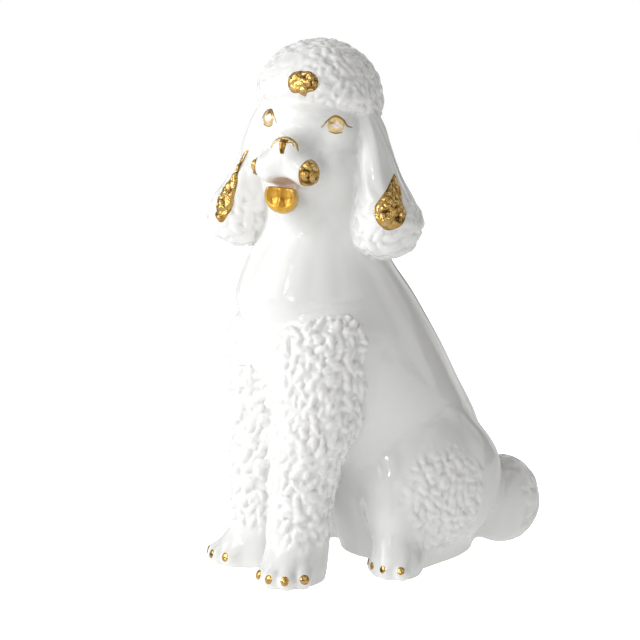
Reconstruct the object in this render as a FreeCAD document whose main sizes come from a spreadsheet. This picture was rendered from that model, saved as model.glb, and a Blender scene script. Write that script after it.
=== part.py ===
import FreeCAD, Part
import os
import Sketcher

# A seated poodle figurine: hollow slip-cast white earthenware pieces luted together, with fired
# gold lustre on the crown of the hair, eyes, nose, lips, ears and claws.
#
# Frame: the floor is z = 0, +Z is up, the dog's chest faces -Y and its left side is +X.  The
# origin is on the floor, under the dog.  Everything is in millimetres and degrees.  The head is
# laid out in a frame of its own, which turns and tips on top of the neck.

doc = FreeCAD.newDocument("SeatedPoodle")
sizes = doc.addObject("Spreadsheet::Sheet", "sizes")

LEFT = 1
RIGHT = -1
SIDES = {"left": LEFT, "right": RIGHT}

# --- Driving sizes -------------------------------------------------------------------------

GENERAL = {
    "wall": 5.0,                # cast wall of every hollow piece
    "lustre": 0.4,              # gold skin, drawn far thicker than the fired film
    "vent_diameter": 9.0,       # firing vent through the base
    "vent_back": 30.0,          # its distance behind the origin
    "foreleg_spread": 25.5,     # from the middle plane to the axis of each foreleg
    "head_turn": 35.0,          # the face looks towards the dog's left
    "head_tip": 4.5,            # and the crown leans the same way
    "head_rise": 23.0,          # middle of the skull above the top of the neck
    "head_shift": 3.0,          # middle of the skull to the left of the middle plane
    "head_forward": 3.0,        # and forward of the top of the neck
    "claw_radius": 3.0,
    "claw_seat": 1.6,           # middle of a claw behind the tip of its toe
    "foreclaw_lift": 1.5,       # claws above the middle of their toe
    "hindclaw_lift": 2.0,
    "hair_patch_rise": 12.0,     # lustre on the topknot, above the middle of the hair
    "flew_patch_drop": 1.0,     # lustre on the lips, below the middle of the lip
    "left_ear_patch_turn": 32.0,    # lustre on the lobes faces forward and a little outward
    "right_ear_patch_turn": 5.0,
    "ear_patch_height": -42.0,  # in the head's own frame
}

# Elliptical sections of the lofted castings, bottom to top: height, across (from the middle
# plane), back (towards the tail), half width and half depth.
TORSO = {
    "base": (0, 0, 24, 49, 51),
    "flank": (50, 0, 18, 54, 65),
    "barrel": (110, 0, -6, 58.5, 71),
    "chest": (160, 0, -31, 57, 69),
    "shoulder": (196, 0, -40, 47, 56),
    "nape": (235, 0, -45, 36, 40),
    "crown": (277, 0, -48, 32, 35),
}
FORELEG = {
    "sole": (0, 0, -74, 22, 23),
    "pastern": (32, 0, -71, 22, 23.5),
    "forearm": (80, 1, -67, 24.5, 26.5),
    "elbow": (128, 2, -58, 29, 33),
    "point": (178, 4, -48, 23, 28),
}
# In the head's own frame, from the tip of the lobe to the root beside the skull.
EAR = {
    "tip": (-80, 52, -3, 10, 11),
    "lobe": (-58, 52.5, -3, 22.5, 26),
    "fringe": (-40, 50, -3, 18.5, 23),
    "strand": (-12, 42, -2, 11, 16),
    "root": (17, 34, 1, 6, 9),
}

# Ellipsoids: x, y, z of the middle, then the half lengths along x, y and z.  Paired ones are
# given for the left side.
BODY_FORMS = {
    "paw": (4, -88, 8, 19, 27, 17),             # x from the axis of its foreleg
    "thigh": (43, 18, 54, 30, 51, 50),
    "foot": (58, -12, 7, 16, 34, 14),
    "pompom": (25, 92.5, 29, 27, 28.5, 29),
}
HEAD_FORMS = {
    "skull": (0, 1, -5, 33, 37, 41),
    "muzzle": (0, -26, -15, 17, 25, 15),
    "jaw": (0, -24, -42, 14, 22, 12),
    "nose": (0, -47, -9, 9, 6.5, 6),
    "flew": (10.5, -38.5, -25, 12.5, 13.5, 11.5),
    "cheek": (19, -12, -20, 15.5, 21, 21),
    "orbit": (20, -18, 1, 13, 13, 16),
    "eye": (24.4, -27, 7, 8.2, 5, 4.8),
    "tongue": (0, -47, -42, 11.5, 9.5, 10.5),
    "hair": (0, 3, 22, 41.5, 43, 37.5),         # the topknot
}
# Half lengths of the ellipsoids that bound each patch of lustre.
PATCHES = {
    "hair_patch": (10, 9, 8),
    "flew_patch": (7, 8.5, 8.5),
    "ear_patch": (10, 11, 17),
    "nose_patch": (9, 6, 4.5),
}
# Toes: along and across each paw from its middle, then half lengths.
FORETOES = {
    "inner": (-12, 15),
    "second": (-4.2, 21),
    "third": (4.2, 21),
    "outer": (12, 15),
}
HINDTOES = {
    "inner": (-10, 26),
    "second": (-3.4, 31),
    "third": (3.4, 31),
    "outer": (10, 26),
}
TOE_SIZES = {
    "foretoe_width": 6.4,
    "foretoe_length": 10.0,
    "foretoe_height": 8.4,
    "foretoe_middle": 7.6,      # height of the middle of a front toe
    "forepaw_splay": 18.0,
    "hindtoe_width": 5.8,
    "hindtoe_length": 9.0,
    "hindtoe_height": 7.4,
    "hindtoe_middle": 6.8,
    "hindpaw_splay": 10.0,
}

AXIS_NAMES = ("x", "y", "z")
HALF_NAMES = ("half_x", "half_y", "half_z")
SECTION_NAMES = ("height", "across", "back", "half_width", "half_depth")


def put_sizes(values):
    """Write named numbers to the next rows of the sheet, each with its name as the alias."""
    for alias, value in values.items():
        row = put_sizes.next_row
        sizes.set(f"A{row}", alias)
        sizes.set(f"B{row}", str(value))
        sizes.setAlias(f"B{row}", alias)
        put_sizes.next_row += 1


put_sizes.next_row = 1


def named(prefix, names, numbers):
    return {f"{prefix}_{name}": number for name, number in zip(names, numbers)}


put_sizes(GENERAL)
put_sizes(TOE_SIZES)
for casting, sections in (("torso", TORSO), ("foreleg", FORELEG), ("ear", EAR)):
    for station, numbers in sections.items():
        put_sizes(named(f"{casting}_{station}", SECTION_NAMES, numbers))
for lump, numbers in {**BODY_FORMS, **HEAD_FORMS}.items():
    put_sizes(named(lump, AXIS_NAMES + HALF_NAMES, numbers))
for patch, numbers in PATCHES.items():
    put_sizes(named(patch, HALF_NAMES, numbers))
for paw, row_of_toes in (("foretoe", FORETOES), ("hindtoe", HINDTOES)):
    for toe, numbers in row_of_toes.items():
        put_sizes(named(f"{paw}_{toe}", ("across", "ahead"), numbers))
doc.recompute()


# --- Building blocks -----------------------------------------------------------------------

def place(thing, x="0", y="0", z="0", yaw="0", tip="0"):
    """Bind a placement to the sheet; yaw turns about +Z, then tip leans about the piece's own Y."""
    thing.setExpression("Placement", f"placement(vector({x}; {y}; {z}); rotation({yaw}; {tip}; 0))")
    return thing


def xy_plane(body):
    return next(plane for plane in body.Origin.OriginFeatures if plane.Role == "XY_Plane")


def ellipse_sketch(body, name, stem, grow):
    """One horizontal elliptical section, its centre, half width and half depth from the sheet."""
    half_width = sizes.get(f"{stem}_half_width")
    half_depth = sizes.get(f"{stem}_half_depth")
    deeper = half_depth >= half_width
    if deeper:
        long_name, short_name = "half_depth", "half_width"
        long_axis, short_axis = FreeCAD.Vector(0, half_depth, 0), FreeCAD.Vector(-half_width, 0, 0)
    else:
        long_name, short_name = "half_width", "half_depth"
        long_axis, short_axis = FreeCAD.Vector(half_width, 0, 0), FreeCAD.Vector(0, half_depth, 0)

    sketch = body.newObject("Sketcher::SketchObject", name)
    sketch.AttachmentSupport = [(xy_plane(body), "")]
    sketch.MapMode = "FlatFace"
    sketch.setExpression("AttachmentOffset.Base.x", f"sizes.{stem}_across")
    sketch.setExpression("AttachmentOffset.Base.y", f"sizes.{stem}_back")
    sketch.setExpression("AttachmentOffset.Base.z", f"sizes.{stem}_height")
    ellipse = sketch.addGeometry(Part.Ellipse(long_axis, short_axis, FreeCAD.Vector()), False)
    sketch.exposeInternalGeometry(ellipse)
    long_line, short_line = ellipse + 1, ellipse + 2
    sketch.addConstraint(Sketcher.Constraint("Coincident", ellipse, 3, -1, 1))
    sketch.addConstraint(Sketcher.Constraint("Vertical" if deeper else "Horizontal", long_line))
    for line, axis, half_name in ((long_line, long_axis, long_name), (short_line, short_axis, short_name)):
        index = sketch.addConstraint(Sketcher.Constraint("Distance", line, 2 * axis.Length))
        sketch.setExpression(f"Constraints[{index}]", f"2 * (sizes.{stem}_{half_name} {grow})")
    return sketch


def lofted(name, casting, stations, grow=""):
    """A body lofted through every section; grow adds to (or takes from) all half sizes."""
    body = doc.addObject("PartDesign::Body", name)
    sketches = [
        ellipse_sketch(body, f"{name}_{station}", f"{casting}_{station}", grow)
        for station in stations
    ]
    loft = body.newObject("PartDesign::AdditiveLoft", f"{name}_loft")
    loft.Profile = sketches[0]
    loft.Sections = sketches[1:]
    return body


def ellipsoid(name, half_x, half_y, half_z, **where):
    solid = doc.addObject("Part::Ellipsoid", name)
    solid.setExpression("Radius2", half_x)
    solid.setExpression("Radius3", half_y)
    solid.setExpression("Radius1", half_z)
    solid.Angle1, solid.Angle2, solid.Angle3 = -90, 90, 360
    return place(solid, **where)


def form(name, size, side=LEFT, grow="", x_from="0", **turn):
    """The ellipsoid that the sheet calls size, on one side, grown by an expression."""
    stem = f"sizes.{size}_"
    return ellipsoid(
        name, f"{stem}half_x {grow}", f"{stem}half_y {grow}", f"{stem}half_z {grow}",
        x=f"{side} * ({x_from} + {stem}x)", y=f"{stem}y", z=f"{stem}z", **turn)


def fused(name, shapes):
    fuse = doc.addObject("Part::MultiFuse", name)
    fuse.Shapes = shapes
    fuse.Refine = False
    return fuse


def cut(name, base, tools):
    """Base less every tool, one after another."""
    for number, tool in enumerate(tools, 1):
        last = number == len(tools)
        step = doc.addObject("Part::Cut", name if last else f"{name}_step_{number}")
        step.Base = base
        step.Tool = tool
        step.Refine = False
        base = step
    return base


def common(name, base, tool):
    both = doc.addObject("Part::Common", name)
    both.Base = base
    both.Tool = tool
    both.Refine = False
    return both


def on_head(thing):
    """Carry a shape from the head's own frame to its place on the neck."""
    return place(
        thing,
        x="sizes.head_shift",
        y="sizes.torso_crown_back - sizes.head_forward",
        z="sizes.torso_crown_height + sizes.head_rise",
        yaw="sizes.head_turn", tip="sizes.head_tip")


def slab(name, low_x, low_y, low_z, length, width, height):
    """A plain box used to trim castings flat."""
    box = doc.addObject("Part::Box", name)
    box.setExpression("Length", length)
    box.setExpression("Width", width)
    box.setExpression("Height", height)
    return place(box, x=low_x, y=low_y, z=low_z)


# Anything past this distance is outside the figurine, whatever its sizes.
FAR = "4 * sizes.torso_crown_height"

floor = slab("floor", f"-{FAR} / 2", f"-{FAR} / 2", f"-{FAR}", FAR, FAR, FAR)
base_slab = slab("base_slab", f"-{FAR} / 2", f"-{FAR} / 2", f"-{FAR} + sizes.wall", FAR, FAR, FAR)


# --- Torso and neck ------------------------------------------------------------------------

torso_form = lofted("torso_form", "torso", TORSO)
torso_core = cut("torso_core", lofted("torso_core_loft", "torso", TORSO, grow="- sizes.wall"), [base_slab])

vent = doc.addObject("Part::Cylinder", "vent")
vent.setExpression("Radius", "sizes.vent_diameter / 2")
vent.setExpression("Height", "2 * sizes.wall")
place(vent, y="sizes.vent_back", z="-sizes.wall / 2")

torso = cut("torso", torso_form, [torso_core, vent])


# --- Legs ----------------------------------------------------------------------------------

def toe_point(paw, toe, ahead="0"):
    """Where a toe's middle is, turned outward with its paw; ahead moves the point along the toe."""
    centre_x = {"fore": "(sizes.foreleg_spread + sizes.paw_x)", "hind": "sizes.foot_x"}[paw]
    centre_y = {"fore": "sizes.paw_y", "hind": "sizes.foot_y"}[paw]
    splay = f"sizes.{paw}paw_splay"
    across = f"sizes.{paw}toe_{toe}_across"
    reach = f"(sizes.{paw}toe_{toe}_ahead + {ahead})"
    return {
        "x": f"{centre_x} + {across} * cos({splay}) + {reach} * sin({splay})",
        "y": f"{centre_y} + {across} * sin({splay}) - {reach} * cos({splay})",
        "yaw": splay,
    }


def toes(paw, toe_names, name):
    width, length, height = (f"sizes.{paw}toe_{size}" for size in ("width", "length", "height"))
    return [
        ellipsoid(f"{name}_toe_{toe}", width, length, height, z=f"sizes.{paw}toe_middle", **toe_point(paw, toe))
        for toe in toe_names
    ]


def claws(paw, toe_names, node, leg_form):
    """One small gold bead on the tip of each toe, seated in the casting."""
    radius = "sizes.claw_radius"
    lift = f"sizes.{paw}toe_middle + sizes.{paw}claw_lift"
    tip = f"sizes.{paw}toe_length - sizes.claw_seat"
    beads = [
        ellipsoid(f"{node}_{toe}", radius, radius, radius, z=lift, **toe_point(paw, toe, tip))
        for toe in toe_names
    ]
    return cut(node, fused(f"{node}_beads", beads), [leg_form])


def mirrored(name, thing):
    """The same shape on the dog's right."""
    mirror = doc.addObject("Part::Mirroring", name)
    mirror.Source = thing
    mirror.Normal = FreeCAD.Vector(1, 0, 0)
    mirror.Base = FreeCAD.Vector(0, 0, 0)
    return mirror


def foreleg(name):
    """Left foreleg with its paw, trimmed flat on the floor and on the middle plane."""
    shift = {"x": "sizes.foreleg_spread"}
    limb = place(lofted(f"{name}_limb", "foreleg", FORELEG), **shift)
    paw = form(f"{name}_paw", "paw", x_from="sizes.foreleg_spread", yaw="sizes.forepaw_splay")
    whole = fused(f"{name}_whole", [limb, paw] + toes("fore", FORETOES, name))
    other_side = slab(f"{name}_other_side", f"-{FAR}", f"-{FAR} / 2", f"-{FAR} / 2", FAR, FAR, FAR)
    shaped = cut(f"{name}_form", whole, [floor, other_side])
    core_loft = place(lofted(f"{name}_core_loft", "foreleg", FORELEG, grow="- sizes.wall"), **shift)
    core = cut(f"{name}_core", core_loft, [base_slab])
    return shaped, cut(name, shaped, [torso_form, core])


def hindleg(name, foreleg_form):
    """Left folded hind leg: the thigh, and the foot flat on the floor in front of it."""
    thigh = form(f"{name}_thigh", "thigh")
    foot = form(f"{name}_foot", "foot", yaw="sizes.hindpaw_splay")
    whole = fused(f"{name}_whole", [thigh, foot] + toes("hind", HINDTOES, name))
    shaped = cut(f"{name}_form", whole, [floor, foreleg_form])
    core = cut(f"{name}_core", form(f"{name}_core_round", "thigh", grow="- sizes.wall"), [base_slab])
    return shaped, cut(name, shaped, [torso_form, core])


foreleg_form, foreleg_left = foreleg("foreleg_left")
hindleg_form, hindleg_left = hindleg("hindleg_left", foreleg_form)
foreclaws = claws("fore", FORETOES, "foreleg_left_claws", foreleg_form)
hindclaws = claws("hind", HINDTOES, "hindleg_left_claws", hindleg_form)
left_pieces = [foreleg_left, hindleg_left, foreclaws, hindclaws]
nodes = [torso] + left_pieces
nodes += [mirrored(piece.Name.replace("left", "right"), piece) for piece in left_pieces]


# --- Tail ----------------------------------------------------------------------------------

tail_form = form("tail_form", "pompom")
tail_core = cut("tail_core", form("tail_core_round", "pompom", grow="- sizes.wall"), [base_slab])
nodes.append(cut("tail", tail_form, [floor, torso_form, hindleg_form, tail_core]))


# --- Head and topknot ----------------------------------------------------------------------

def head_lumps():
    """The swellings that make up the face, in the order that they are joined."""
    lumps = [form(f"head_{size}", size) for size in ("skull", "muzzle", "jaw")]
    for label, side in SIDES.items():
        lumps += [form(f"head_{size}_{label}", size, side) for size in ("cheek", "flew", "orbit")]
    return lumps + [form("head_nose", "nose")]


head_form = fused("head_form", head_lumps())
head_core = form("head_core", "skull", grow="- sizes.wall")
head_posed = on_head(cut("head_posed", head_form, [head_core]))
nodes.append(cut("head", head_posed, [torso_form]))

hair_form = form("hair_form", "hair")
hair_core = form("hair_core", "hair", grow="- sizes.wall")
nodes.append(on_head(cut("topknot", hair_form, [head_form, hair_core])))

tongue_form = form("tongue_form", "tongue")
nodes.append(on_head(cut("tongue", tongue_form, [head_form])))


# --- Ears, eyes and the lustre on the head -------------------------------------------------

def skin(name, grown, casting, bound):
    """The thin layer between a casting and its grown copy, inside a bounding shape."""
    return cut(name, common(f"{name}_blank", grown, bound), [casting])


def posed(node, shape, met_there=None):
    """One finished node: the shape carried to the neck, less the piece that it meets there."""
    if met_there is None:
        return posed_copy(node, shape)
    return cut(node, posed_copy(f"{node}_posed", shape), [met_there])


def posed_copy(name, shape):
    copy = doc.addObject("Part::Compound", name)
    copy.Links = [shape]
    return on_head(copy)


def add_pair(names, left_shape, met_there=None):
    """Pose a shape of the head's left side, and its mirror image, as two nodes."""
    left_name, right_name = names
    nodes.append(posed(left_name, left_shape, met_there))
    nodes.append(posed(right_name, mirrored(f"{right_name}_mirrored", left_shape), met_there))


ear_form = lofted("ear_form", "ear", EAR)
ear_trimmed = cut("ear_trimmed", ear_form, [head_form, hair_form])
add_pair(("ear_left", "ear_right"), ear_trimmed, torso_form)

eye = cut("eye", form("eye_form", "eye"), [head_form, hair_form])
add_pair(("eye_gilding_left", "eye_gilding_right"), eye)

flew_bound = ellipsoid(
    "flew_patch", "sizes.flew_patch_half_x", "sizes.flew_patch_half_y", "sizes.flew_patch_half_z",
    x="sizes.flew_x + sizes.flew_half_x", y="sizes.flew_y - sizes.flew_half_y / 3",
    z="sizes.flew_z - sizes.flew_patch_drop")
flew_skin = skin("flew_skin", form("flew_grown", "flew", grow="+ sizes.lustre"), head_form, flew_bound)
add_pair(("whisker_gilding_left", "whisker_gilding_right"), flew_skin)

hair_bound = ellipsoid(
    "hair_patch", "sizes.hair_patch_half_x", "sizes.hair_patch_half_y", "sizes.hair_patch_half_z",
    y="sizes.hair_y - sizes.hair_half_y", z="sizes.hair_z + sizes.hair_patch_rise")
hair_skin = skin("hair_skin", form("hair_grown", "hair", grow="+ sizes.lustre"), hair_form, hair_bound)
nodes.append(posed("topknot_gilding", hair_skin))

nose_bound = ellipsoid(
    "nose_patch", "sizes.nose_patch_half_x", "sizes.nose_patch_half_y", "sizes.nose_patch_half_z",
    y="sizes.nose_y - sizes.nose_half_y", z="sizes.nose_z")
nose_skin = skin("nose_skin", form("nose_grown", "nose", grow="+ sizes.lustre"), head_form, nose_bound)
nodes.append(posed("nose_gilding", nose_skin))

ear_grown = lofted("ear_grown", "ear", EAR, grow="+ sizes.lustre")
for label, side in SIDES.items():
    turn = f"sizes.{label}_ear_patch_turn"
    bound = ellipsoid(
        f"ear_patch_{label}",
        "sizes.ear_patch_half_x", "sizes.ear_patch_half_y", "sizes.ear_patch_half_z",
        x=f"sizes.ear_lobe_across + sizes.ear_lobe_half_width * sin({turn})",
        y=f"sizes.ear_lobe_back - sizes.ear_lobe_half_depth * cos({turn})",
        z="sizes.ear_patch_height", yaw=turn)
    ear_skin = skin(f"ear_skin_{label}", ear_grown, ear_form, bound)
    if side == RIGHT:
        ear_skin = mirrored("ear_skin_mirrored", ear_skin)
    nodes.append(posed(f"ear_gilding_{label}", ear_skin))


# --- Check and export ----------------------------------------------------------------------

doc.recompute()
for thing in doc.Objects:
    failed = {"Invalid", "Error"} & set(thing.State)
    if failed:
        raise RuntimeError(f"{thing.Name} did not build: {thing.State}")

os.makedirs("parts", exist_ok=True)
for node in nodes:
    node.Label = node.Name
    shape = node.Shape
    if shape.isNull() or not shape.isValid() or not shape.Solids:
        raise RuntimeError(f"{node.Label} has no sound solid")
    shape.exportStep(f"parts/{node.Label}.step")
    print(f"{node.Label}: {len(shape.Solids)} solid(s), {shape.Volume / 1000:.2f} cm3")
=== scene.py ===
import itertools
import math

import bpy
import numpy as np
import openvdb
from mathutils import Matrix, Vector


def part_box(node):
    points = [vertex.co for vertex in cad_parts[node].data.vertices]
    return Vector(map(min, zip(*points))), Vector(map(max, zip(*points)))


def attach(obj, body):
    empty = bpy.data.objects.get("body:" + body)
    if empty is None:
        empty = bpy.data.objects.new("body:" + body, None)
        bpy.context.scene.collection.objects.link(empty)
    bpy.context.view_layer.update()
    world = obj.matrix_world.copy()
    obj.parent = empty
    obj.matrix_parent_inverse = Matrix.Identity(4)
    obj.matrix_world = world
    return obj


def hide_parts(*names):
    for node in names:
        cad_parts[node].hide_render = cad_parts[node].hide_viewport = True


# A seated poodle figurine in white glazed earthenware with gold lustre.  The CAD castings give the
# places and sizes; this script sculpts one continuous glazed skin over them as a distance field,
# presses the curls of the coat into it, splits it back into the castings and paints the lustre.
# The sculpt is worked out in millimetres, in the CAD frame: the chest faces -Y, the dog's left is
# +X and the floor is z = 0.

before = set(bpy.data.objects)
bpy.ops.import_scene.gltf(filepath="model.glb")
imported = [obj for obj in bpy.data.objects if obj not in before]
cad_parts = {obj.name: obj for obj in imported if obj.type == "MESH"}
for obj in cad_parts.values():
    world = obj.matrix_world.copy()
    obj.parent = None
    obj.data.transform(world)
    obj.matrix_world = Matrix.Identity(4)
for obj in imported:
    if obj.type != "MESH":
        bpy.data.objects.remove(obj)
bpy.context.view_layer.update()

MM = 0.001
VOXEL = 1.15         # size of the skin's faces
BLOCK = 16                                  # voxels along each side of a work block
REACH = 14.0                                # how far a casting's blends can reach past its CAD box

# --- Places, from the CAD boxes ------------------------------------------------------------


def box_mm(node):
    low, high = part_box(node)
    return np.array(low) / MM, np.array(high) / MM


def foot_of(node):
    """The middle of a node's box, taken down to its lowest height."""
    low, high = box_mm(node)
    return np.array([(low[0] + high[0]) / 2, (low[1] + high[1]) / 2, low[2]])


def turned(yaw=0.0, nod=0.0, tip=0.0):
    """Columns are a piece's own left, back and up; yaw turns its front (-Y) towards +X."""
    y, n, t = np.radians([yaw, nod, tip])
    about_z = np.array([[np.cos(y), -np.sin(y), 0], [np.sin(y), np.cos(y), 0], [0, 0, 1]])
    about_x = np.array([[1, 0, 0], [0, np.cos(n), -np.sin(n)], [0, np.sin(n), np.cos(n)]])
    about_y = np.array([[np.cos(t), 0, np.sin(t)], [0, 1, 0], [-np.sin(t), 0, np.cos(t)]])
    return about_z @ about_x @ about_y


TORSO_FOOT = foot_of("torso")
FORELEG_FOOT = foot_of("foreleg_left")
HINDLEG_FOOT = foot_of("hindleg_left")
TAIL_FOOT = foot_of("tail")

HEAD_AXES = turned(yaw=35, tip=4.5)
CAD_HAIR_MIDDLE = np.array([0, 3, 22])      # of the topknot casting, in the head's own frame
CAD_HAIR_RISE = 37.5                        # from its middle to its top
hair_foot = foot_of("topknot")
hair_top = box_mm("topknot")[1][2]
hair_middle = np.array([hair_foot[0], hair_foot[1], hair_top - CAD_HAIR_RISE])
HEAD_MIDDLE = hair_middle - HEAD_AXES @ CAD_HAIR_MIDDLE

# Elliptical sections, bottom to top: height, across, back, half width and half depth.  Across and
# back are from the foot of the CAD casting (from the head's own axis for the ears).
TORSO = (
    (-6, 0, 35, 45, 46),
    (0, 0, 35, 46, 47.5),
    (30, 0, 30, 51, 57),
    (60, 0, 25, 54, 67),
    (85, 0, 17.5, 56.5, 71.2),
    (130, 0, -7.8, 60.3, 71.7),
    (150, 0, -19, 59, 72),
    (167, 0, -25, 56, 67.5),
    (188, -2.5, -33.5, 52.5, 64),
    (213, -3, -38.5, 45, 51),
    (235, 0, -37.5, 36, 40),
    (258, 0, -39, 33.5, 36.5),
    (277, 0, -40, 32, 35),
)
FORELEG_LEFT = (
    (-4, -4.2, -4, 20.5, 20.5),
    (12, -4.2, -2, 21, 22),
    (30, -4, 0, 20.5, 21.5),
    (50, -3.5, 1.5, 20.2, 21),
    (65, -3, 3, 21.2, 22.8),
    (80, -2, 5.5, 23.2, 24.6),
    (100, 0, 10, 27, 29),
    (118, 1.2, 13.5, 28.5, 31),
    (150, 0.5, 17, 29.5, 35),
    (172, 0.8, 21.5, 26, 32),
    (184, 1.8, 25.5, 16, 20),
)
FORELEG_RIGHT = (
    (-4, -5.2, -3, 20, 20),
    (12, -5.2, -2.2, 20, 20.5),
    (30, -6, 0, 21.3, 21.5),
    (60, -6.5, 2, 23.5, 23.6),
    (90, -6, 5.5, 26.5, 27.2),
    (120, -4.5, 11.5, 29, 32.5),
    (150, -1.7, 16, 29.8, 35.5),
    (172, 0.8, 21.5, 26, 32),
    (184, 1.8, 25.5, 16, 20),
)
EAR_LEFT = (
    (-80, 53.5, -1, 6, 7),
    (-76, 53.8, -1, 15, 17.5),
    (-67.5, 54.6, -1, 20.5, 24.5),
    (-55, 55.4, -1, 22.7, 27.5),
    (-42, 52.6, -1.5, 19.3, 25.5),
    (-27, 47.6, -2, 14.6, 20),
    (-6, 41.6, -2, 10.6, 14.6),
    (8, 36.8, 0, 8.6, 12.4),
    (19, 33, 1, 5, 8),
)
EAR_RIGHT = (
    (-83, 48.5, -3, 6, 8),
    (-79, 48.5, -3, 15.5, 19.5),
    (-70, 49.5, -3.5, 21.5, 25.5),
    (-57, 49.3, -4, 21.7, 25),
    (-42, 45.8, -4, 17.6, 21.3),
    (-27, 41.2, -3.5, 14, 16.8),
    (-8, 39.4, -2, 11.2, 14.6),
    (8, 36.6, 0, 9, 12.6),
    (19, 34, 1, 5, 8),
)

# Toes of one paw, inner to outer: across and ahead of the paw's middle.
FORETOES = ((-13, 14), (-4.6, 20.5), (4.6, 20.5), (13.5, 13.5))
HINDTOES = ((-14, 8), (-7, 12.5), (1.5, 14.5), (11, 10))
# By side: degrees that a paw turns outward, and how far the forepaws stand out to the left.
FOREPAW_SPLAY = {1: 36, -1: 18}
HINDPAW_SPLAY = {1: 14, -1: 14}
FOREPAW_SHIFT = {1: 5.0, -1: 1.0}

F = np.float32

# --- Distance fields -----------------------------------------------------------------------


def ellipsoid(points, middle, half, axes=None):
    offset = points - np.asarray(middle, F)
    if axes is not None:
        offset = offset @ axes.astype(F)
    half = np.asarray(half, F)
    near = np.sqrt(((offset / half) ** 2).sum(-1)) + F(1e-6)
    slope = np.sqrt(((offset / half ** 2) ** 2).sum(-1)) + F(1e-9)
    return near * (near - 1) / slope


def tapered(points, start, end, start_radius, end_radius):
    """A round bar between two points, with rounded ends."""
    start, end = np.asarray(start, F), np.asarray(end, F)
    along = end - start
    share = np.clip(((points - start) @ along) / (along @ along), 0, 1)
    from_axis = np.sqrt((((points - start) - share[..., None] * along) ** 2).sum(-1))
    return from_axis - (start_radius + (end_radius - start_radius) * share)


def through(height, heights, values):
    """A smooth curve through the values at the heights."""
    knots = np.asarray(heights, F)
    values = np.asarray(values, F)
    slopes = np.gradient(values, knots)
    height = np.clip(height, knots[0], knots[-1])
    i = np.clip(np.searchsorted(knots, height, side="right") - 1, 0, len(knots) - 2)
    step = knots[i + 1] - knots[i]
    t = (height - knots[i]) / step
    start = (1 + 2 * t) * (1 - t) ** 2 * values[i] + t * (1 - t) ** 2 * step * slopes[i]
    return start + t * t * (3 - 2 * t) * values[i + 1] + t * t * (t - 1) * step * slopes[i + 1]


def lofted(points, sections, side=1):
    """Elliptical sections stacked in height; side -1 mirrors them to the right."""
    heights, *columns = zip(*sections)
    across, back, half_width, half_depth = (through(points[..., 2], heights, column) for column in columns)
    dx = points[..., 0] - side * across
    dy = points[..., 1] - back
    near = np.sqrt((dx / half_width) ** 2 + (dy / half_depth) ** 2) + F(1e-6)
    slope = np.sqrt((dx / half_width ** 2) ** 2 + (dy / half_depth ** 2) ** 2) + F(1e-9)
    wall = near * (near - 1) / slope
    return np.maximum(wall, np.maximum(heights[0] - points[..., 2], points[..., 2] - heights[-1]))


def joined(one, other, blend):
    """Union with a rounded seam of that width."""
    if blend <= 0:
        return np.minimum(one, other)
    overlap = np.maximum(blend - np.abs(one - other), 0) / blend
    return np.minimum(one, other) - overlap * overlap * blend * F(0.25)


def carved(one, hole, blend):
    """One less the hole, with a rounded edge."""
    return -joined(-one, hole, blend)


def on_head(points):
    return (points - HEAD_MIDDLE.astype(F)) @ HEAD_AXES.astype(F)


# --- The castings --------------------------------------------------------------------------

def torso_field(points):
    return lofted(points - TORSO_FOOT.astype(F), TORSO)


def paw_field(points, middle, half, toes, toe_radius, splay, side):
    """A mitten-shaped paw, its toes parted by clefts."""
    axes = turned(yaw=side * splay)
    paw = ellipsoid(points, middle, half, axes)
    for across, ahead in toes:
        tip = np.asarray(middle) + axes @ np.array([side * across, -ahead, 0])
        tip[2] = toe_radius
        root = tip + axes @ np.array([-side * across * 0.4, ahead * 0.8, half[2] * 0.55])
        toe = tapered(points, tip, root, toe_radius, toe_radius * 1.05)
        paw = joined(paw, toe, 1.6)
    return paw


def forepaw_middle(side):
    across = side * (FORELEG_FOOT[0] - 1.5) + FOREPAW_SHIFT[side]
    return np.array([across, FORELEG_FOOT[1] - 10.5, 7.0])


def hindpaw_middle(side):
    return np.array([side * (HINDLEG_FOOT[0] + 3.0), HINDLEG_FOOT[1] - 30.0, 7.0])


def foreleg_field(points, side):
    foot = FORELEG_FOOT * np.array([side, 1, 1])
    limb = lofted(points - foot.astype(F), FORELEG_LEFT if side > 0 else FORELEG_RIGHT, side)
    paw = paw_field(points, forepaw_middle(side), (18, 22, 16), FORETOES, 6.5, FOREPAW_SPLAY[side], side)
    return joined(limb, paw, 9)


def hindleg_field(points, side):
    foot = HINDLEG_FOOT * np.array([side, 1, 1])
    thigh = ellipsoid(points, foot + np.array([-side * 13, 10, 56]), (30, 55.5, 49))
    shin = tapered(points, foot + np.array([-side * 6, -28, 36]), foot + np.array([0, -34, 12]), 15, 12)
    shank = ellipsoid(points, foot + np.array([-side * 10, -3, 12]), (13, 42, 17), turned(yaw=side * 18))
    paw = paw_field(points, hindpaw_middle(side), (15, 18, 13), HINDTOES, 5.6, HINDPAW_SPLAY[side], side)
    return joined(joined(joined(thigh, shin, 14), shank, 12), paw, 7)


def tail_field(points):
    pompom = ellipsoid(points, TAIL_FOOT + np.array([2, -3, 30.5]), (27.5, 28.5, 31.5))
    root = tapered(points, TAIL_FOOT + np.array([-14, -26, 36]), TAIL_FOOT + np.array([-4, -8, 33]), 20, 21)
    return joined(pompom, root, 8)


MUZZLE_TURN = -2.5                          # the muzzle points a little to the dog's right


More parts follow.
